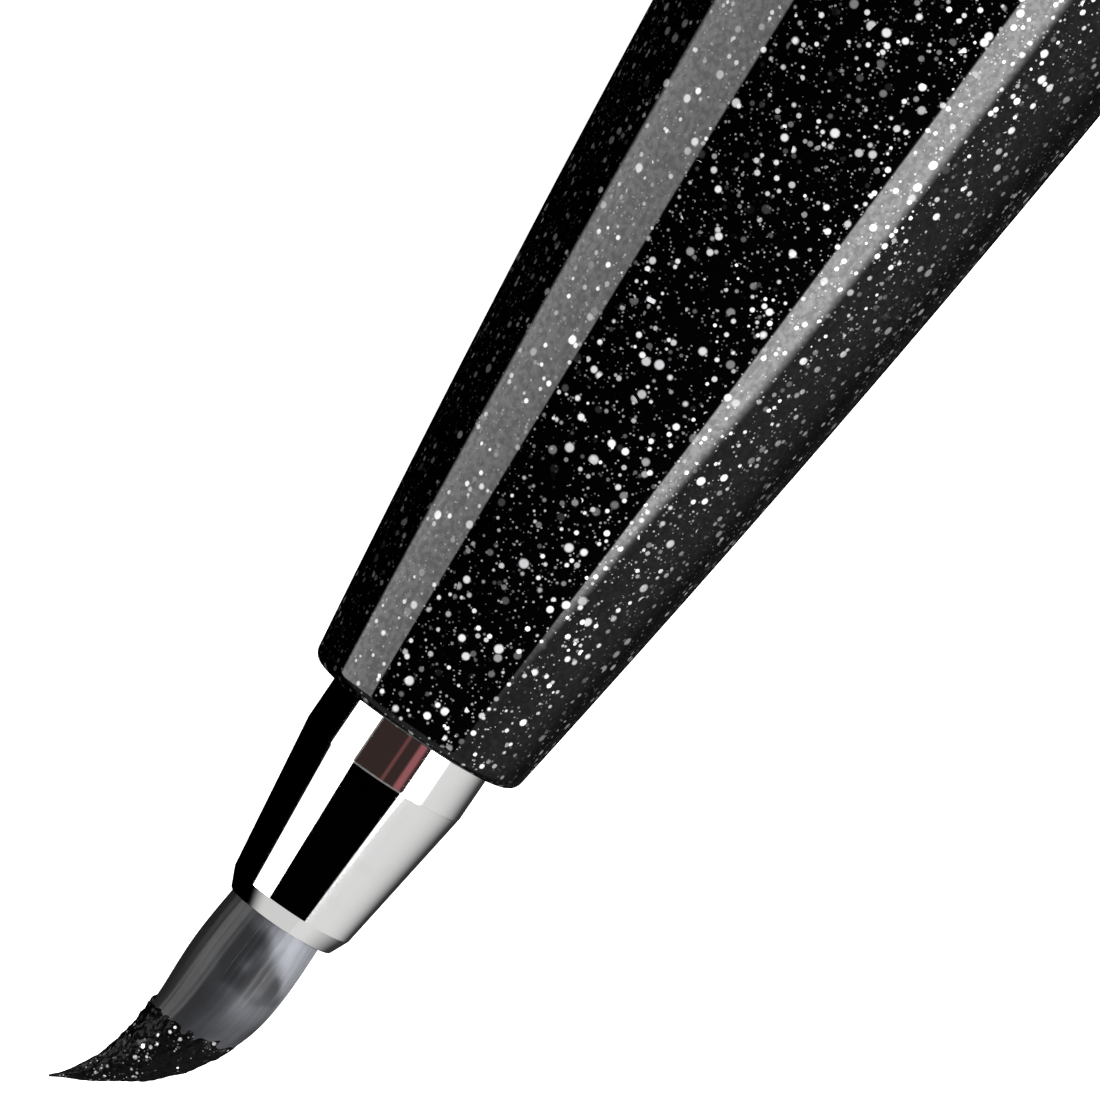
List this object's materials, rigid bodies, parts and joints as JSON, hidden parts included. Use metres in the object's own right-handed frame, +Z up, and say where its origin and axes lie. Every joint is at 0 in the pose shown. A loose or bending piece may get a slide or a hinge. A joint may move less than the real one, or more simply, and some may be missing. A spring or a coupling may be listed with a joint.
{
  "type": "brush pen",
  "caption": "Ink-fed brush pen with a black glitter barrel, chrome ferrule and bent filament brush, a knock button feed and a clip cap posted on its tail.",
  "frame": {"origin": "on the pen's axis, at the middle of the cylindrical barrel", "axes": "+X along the pen towards the tail, brush towards -X; +Z up with the pen lying on a table; the brush tip bends towards +Y"},
  "size_m": [0.1797, 0.016, 0.0148],
  "materials": {
    "glitter_plastic": "black gloss with silver glitter under a clear surface",
    "chrome": "bright plated",
    "brush_fibre": "wet translucent nylon filament, stained grey",
    "clear_plastic": "clear moulded plastic",
    "black_rubber": "matte",
    "inner_plastic": "fine moulded texture",
    "white_plastic": "satin acetal",
    "grey_seal_plastic": "soft satin",
    "steel": "drawn steel"
  },
  "bodies": {
    "pen_body": {"nose_section": "glitter_plastic", "nose_seal": "black_rubber", "cap_seal": "black_rubber", "ferrule": "chrome", "brush_root": "brush_fibre", "feed_tube": "clear_plastic", "nib_carrier": "inner_plastic", "tank_seal": "black_rubber", "ink_tank": "clear_plastic", "guide_nut": "inner_plastic", "barrel": "glitter_plastic", "front_trim_ring": "chrome", "rear_trim_ring": "chrome"},
    "brush": {"brush_tuft": "brush_fibre"},
    "mixer": {"mixing_ball": "steel"},
    "follower": {"piston": "grey_seal_plastic"},
    "rotor": {"ratchet_rotor": "white_plastic"},
    "screw": {"feed_screw": "white_plastic"},
    "button": {"push_button": "glitter_plastic", "return_spring": "steel"},
    "cap": {"cap_shell": "glitter_plastic", "cap_band": "chrome", "cap_liner": "inner_plastic", "cap_crown": "glitter_plastic", "clip_anchor": "chrome"},
    "clip": {"clip_arm": "chrome"}
  },
  "joints": [
    {"name": "brush_flex", "type": "hinge", "parent": "pen_body", "child": "brush", "pos_m": [-0.079, 0.00009, 0], "axis": [0, 0, 1], "range_deg": [-25, 20], "stiffness_Nm_per_rad": 0.002, "deforming": ["brush_tuft"]},
    {"name": "ball_slide", "type": "slide", "parent": "pen_body", "child": "mixer", "axis": [1, 0, 0], "range_m": [-0.003, 0.0055]},
    {"name": "feed_turn", "type": "hinge", "parent": "pen_body", "child": "rotor", "pos_m": [0.016, 0, 0], "axis": [1, 0, 0], "range_deg": [0, 6120]},
    {"name": "screw_slide", "type": "slide", "parent": "rotor", "child": "screw", "axis": [-1, 0, 0], "range_m": [0, 0.0255]},
    {"name": "piston_slide", "type": "slide", "parent": "pen_body", "child": "follower", "axis": [-1, 0, 0], "range_m": [0, 0.0255]},
    {"name": "button_push", "type": "slide", "parent": "pen_body", "child": "button", "axis": [-1, 0, 0], "range_m": [0, 0.0018], "stiffness_N_per_m": 400, "springref_m": -0.003, "deforming": ["return_spring"]},
    {"name": "cap_pull", "type": "slide", "parent": "pen_body", "child": "cap", "axis": [1, 0, 0], "range_m": [0, 0.024]},
    {"name": "clip_flex", "type": "hinge", "parent": "cap", "child": "clip", "pos_m": [0.09024, -0.00705, -0.00551], "axis": [0, -0.6156, 0.7881], "range_deg": [0, 4], "stiffness_Nm_per_rad": 1.5}
  ],
  "couplings": [
    {"joint": "feed_turn", "follows": "piston_slide", "rad_per_m": 4188.8},
    {"joint": "screw_slide", "follows": "piston_slide", "ratio": 1}
  ]
}
